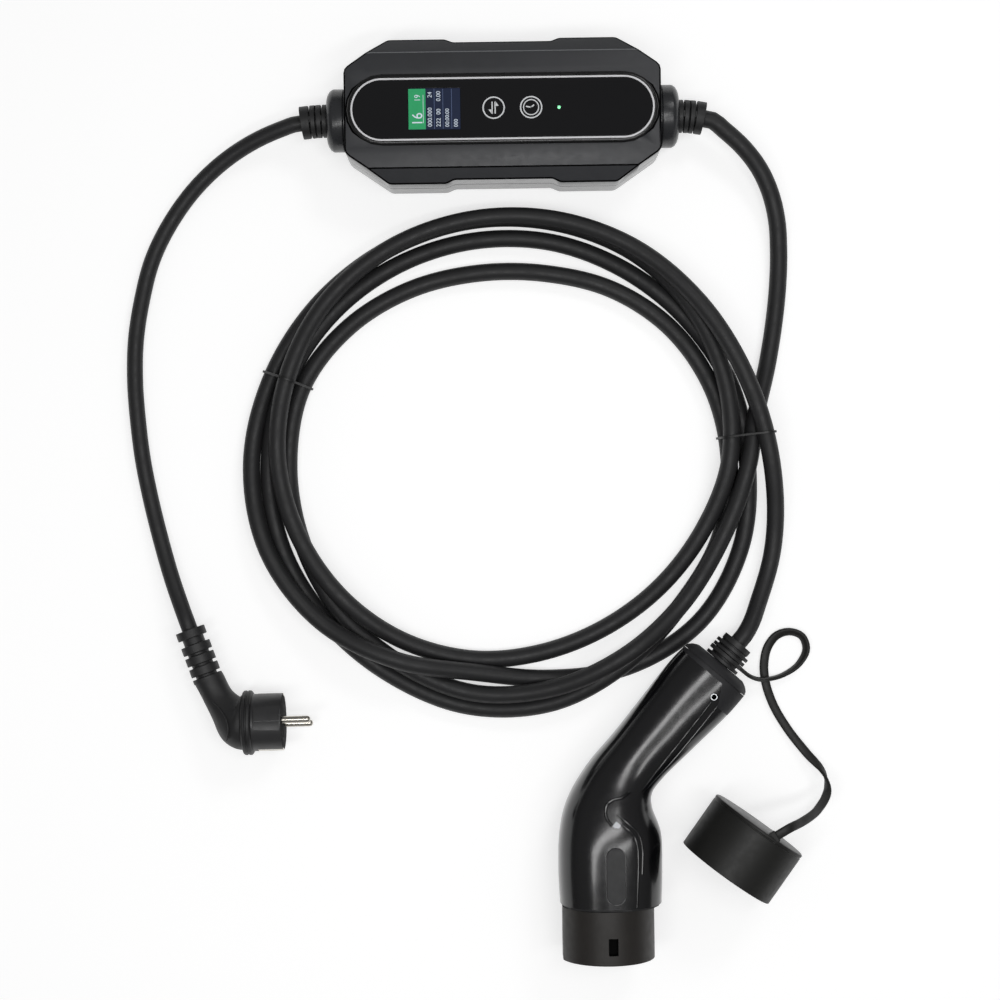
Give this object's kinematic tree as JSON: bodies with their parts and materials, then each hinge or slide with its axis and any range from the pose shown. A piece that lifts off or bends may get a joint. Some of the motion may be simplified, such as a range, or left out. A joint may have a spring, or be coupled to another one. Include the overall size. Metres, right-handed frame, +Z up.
{
  "type": "ev charging cable",
  "caption": "Portable car charging cable: a control box with a screen between a mains lead with an angled plug and a coiled lead with a pistol-grip connector and a strapped dust cap.",
  "frame": {"origin": "centre of the control box's underside", "axes": "+X along the box towards the charging lead, +Y across the box away from the coil, +Z up out of the display panel"},
  "size_m": [0.48, 0.6213, 0.0703],
  "materials": {
    "shell": "satin black",
    "panel": "gloss black",
    "grip": "gloss black",
    "nose": "matte brown-black",
    "moulding": "matte black",
    "jacket": "satin black",
    "seal": "matte black",
    "trim": "white",
    "screen": "lit screen",
    "light": "lit green",
    "board": "green lacquer",
    "relay": "blue",
    "component": "grey",
    "steel": "zinc plated",
    "nickel": "nickel plated"
  },
  "bodies": {
    "root": {"lower_shell": "shell", "upper_shell": "shell", "back_gasket": "seal", "front_gasket": "seal", "display_panel": "panel", "panel_trim_ring": "trim", "display_board": "board", "lcd_screen": "screen", "status_led": "light", "main_board": "board", "live_relay": "relay", "neutral_relay": "relay", "power_transformer": "component", "input_terminal_block": "component", "output_terminal_block": "component", "supply_capacitor": "component", "leakage_sensor": "component", "shell_screw_1": "steel", "shell_screw_2": "steel", "shell_screw_3": "steel", "shell_screw_4": "steel", "shell_screw_5": "steel", "shell_screw_6": "steel", "input_gland": "shell", "output_gland": "shell", "input_strain_relief": "moulding", "output_strain_relief": "moulding", "input_wiring": "component", "output_wiring": "component", "plug_body": "moulding", "plug_face": "panel", "live_pin": "nickel", "neutral_pin": "nickel", "earth_strip_left": "nickel", "earth_strip_right": "nickel", "grip_shell_upper": "grip", "grip_shell_lower": "grip", "grip_screw_1": "steel", "grip_screw_2": "steel", "grip_screw_3": "steel", "grip_screw_4": "steel", "badge_plate": "grip", "nose_insert": "nose", "live_contact": "nickel", "neutral_contact": "nickel", "earth_contact": "nickel", "pilot_contact": "nickel", "proximity_contact": "nickel", "nose_seal": "seal", "rear_cap": "shell", "connector_strain_relief": "moulding", "strap_ring": "moulding", "cable_clamp": "component", "grip_wiring": "component", "dust_cap": "moulding", "cap_strap": "moulding", "input_cable": "jacket", "output_cable": "jacket", "left_cable_tie": "seal", "right_cable_tie": "seal"}
  },
  "joints": []
}
